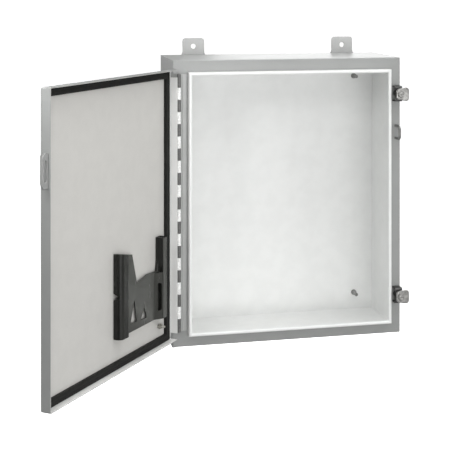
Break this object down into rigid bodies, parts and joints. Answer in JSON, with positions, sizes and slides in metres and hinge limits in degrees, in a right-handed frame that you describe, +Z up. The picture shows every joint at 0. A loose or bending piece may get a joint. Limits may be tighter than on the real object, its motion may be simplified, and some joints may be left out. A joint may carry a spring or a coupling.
{
  "type": "wall-mount electrical enclosure",
  "caption": "Wall-mounted sheet steel electrical enclosure: open gasketed door on a continuous hinge, screw-down clamps, padlock hasp, document pocket, pierced mounting feet.",
  "frame": {"origin": "centre of the four-hole wall pattern, on the rear face of the mounting feet", "axes": "+Z up, +Y into the wall, +X to the latch side as seen from the front; the rest pose has the door open and the clamps swung outward"},
  "size_m": [0.8008, 0.609, 0.6858],
  "materials": {
    "body_paint": "semi-gloss powder coat, grey outside and white inside",
    "hinge_paint": "thin powder coat over a plated strip",
    "door_paint": "semi-gloss powder coat with fine orange peel",
    "pin_steel": "drawn steel rod",
    "gasket_rubber": "matt closed-cell gasket",
    "pocket_plastic": "moulded charcoal thermoplastic, fine texture",
    "adhesive_foam": "white foam tape",
    "plated_steel": "zinc plate",
    "stud_zinc": "dull zinc plate",
    "dark_zinc": "dark plated pressing",
    "stainless": "tumbled stainless steel"
  },
  "bodies": {
    "cabinet": {"body_wrap": "body_paint", "top_wall": "body_paint", "bottom_wall": "body_paint", "mounting_foot_top_left": "body_paint", "mounting_foot_top_right": "body_paint", "mounting_foot_bottom_left": "body_paint", "mounting_foot_bottom_right": "body_paint", "body_hinge_leaf": "hinge_paint", "hinge_pin": "pin_steel", "body_ground_stud": "plated_steel", "body_ground_nut": "plated_steel", "panel_studs": "stud_zinc", "padlock_staple": "stud_zinc", "upper_clamp_bracket": "dark_zinc", "lower_clamp_bracket": "dark_zinc"},
    "door": {"door_shell": "door_paint", "door_hinge_leaf": "door_paint", "door_gasket": "gasket_rubber", "data_pocket": "pocket_plastic", "pocket_adhesive_strips": "adhesive_foam", "door_ground_stud": "plated_steel", "door_ground_nut": "plated_steel", "door_hasp": "door_paint"},
    "upper_clamp_carriage": {"upper_clamp_retainer": "stainless"},
    "upper_clamp_screw": {"upper_clamp_screw": "stainless"},
    "upper_clamp_arm": {"upper_clamp_arm": "stainless"},
    "lower_clamp_carriage": {"lower_clamp_retainer": "stainless"},
    "lower_clamp_screw": {"lower_clamp_screw": "stainless"},
    "lower_clamp_arm": {"lower_clamp_arm": "stainless"}
  },
  "joints": [
    {"name": "door_swing", "type": "hinge", "parent": "cabinet", "child": "door", "pos_m": [-0.2405, -0.213, 0], "axis": [0, 0, -1], "range_deg": [-126.2, 2]},
    {"name": "upper_clamp_travel", "type": "slide", "parent": "cabinet", "child": "upper_clamp_carriage", "axis": [0, -1, 0], "range_m": [0, 0.0038]},
    {"name": "upper_clamp_screw_turn", "type": "hinge", "parent": "upper_clamp_carriage", "child": "upper_clamp_screw", "pos_m": [0.244, -0.2316, 0.2257], "axis": [0, -1, 0], "range_deg": [0, 1080]},
    {"name": "upper_clamp_arm_swing", "type": "hinge", "parent": "upper_clamp_carriage", "child": "upper_clamp_arm", "pos_m": [0.244, -0.2316, 0.2257], "axis": [0, 1, 0], "range_deg": [0, 180]},
    {"name": "lower_clamp_travel", "type": "slide", "parent": "cabinet", "child": "lower_clamp_carriage", "axis": [0, -1, 0], "range_m": [0, 0.0038]},
    {"name": "lower_clamp_screw_turn", "type": "hinge", "parent": "lower_clamp_carriage", "child": "lower_clamp_screw", "pos_m": [0.244, -0.2316, -0.2178], "axis": [0, -1, 0], "range_deg": [0, 1080]},
    {"name": "lower_clamp_arm_swing", "type": "hinge", "parent": "lower_clamp_carriage", "child": "lower_clamp_arm", "pos_m": [0.244, -0.2316, -0.2178], "axis": [0, -1, 0], "range_deg": [0, 180]}
  ],
  "couplings": [
    {"joint": "upper_clamp_screw_turn", "follows": "upper_clamp_travel", "rad_per_m": 4947.4},
    {"joint": "lower_clamp_screw_turn", "follows": "lower_clamp_travel", "rad_per_m": 4947.4}
  ]
}
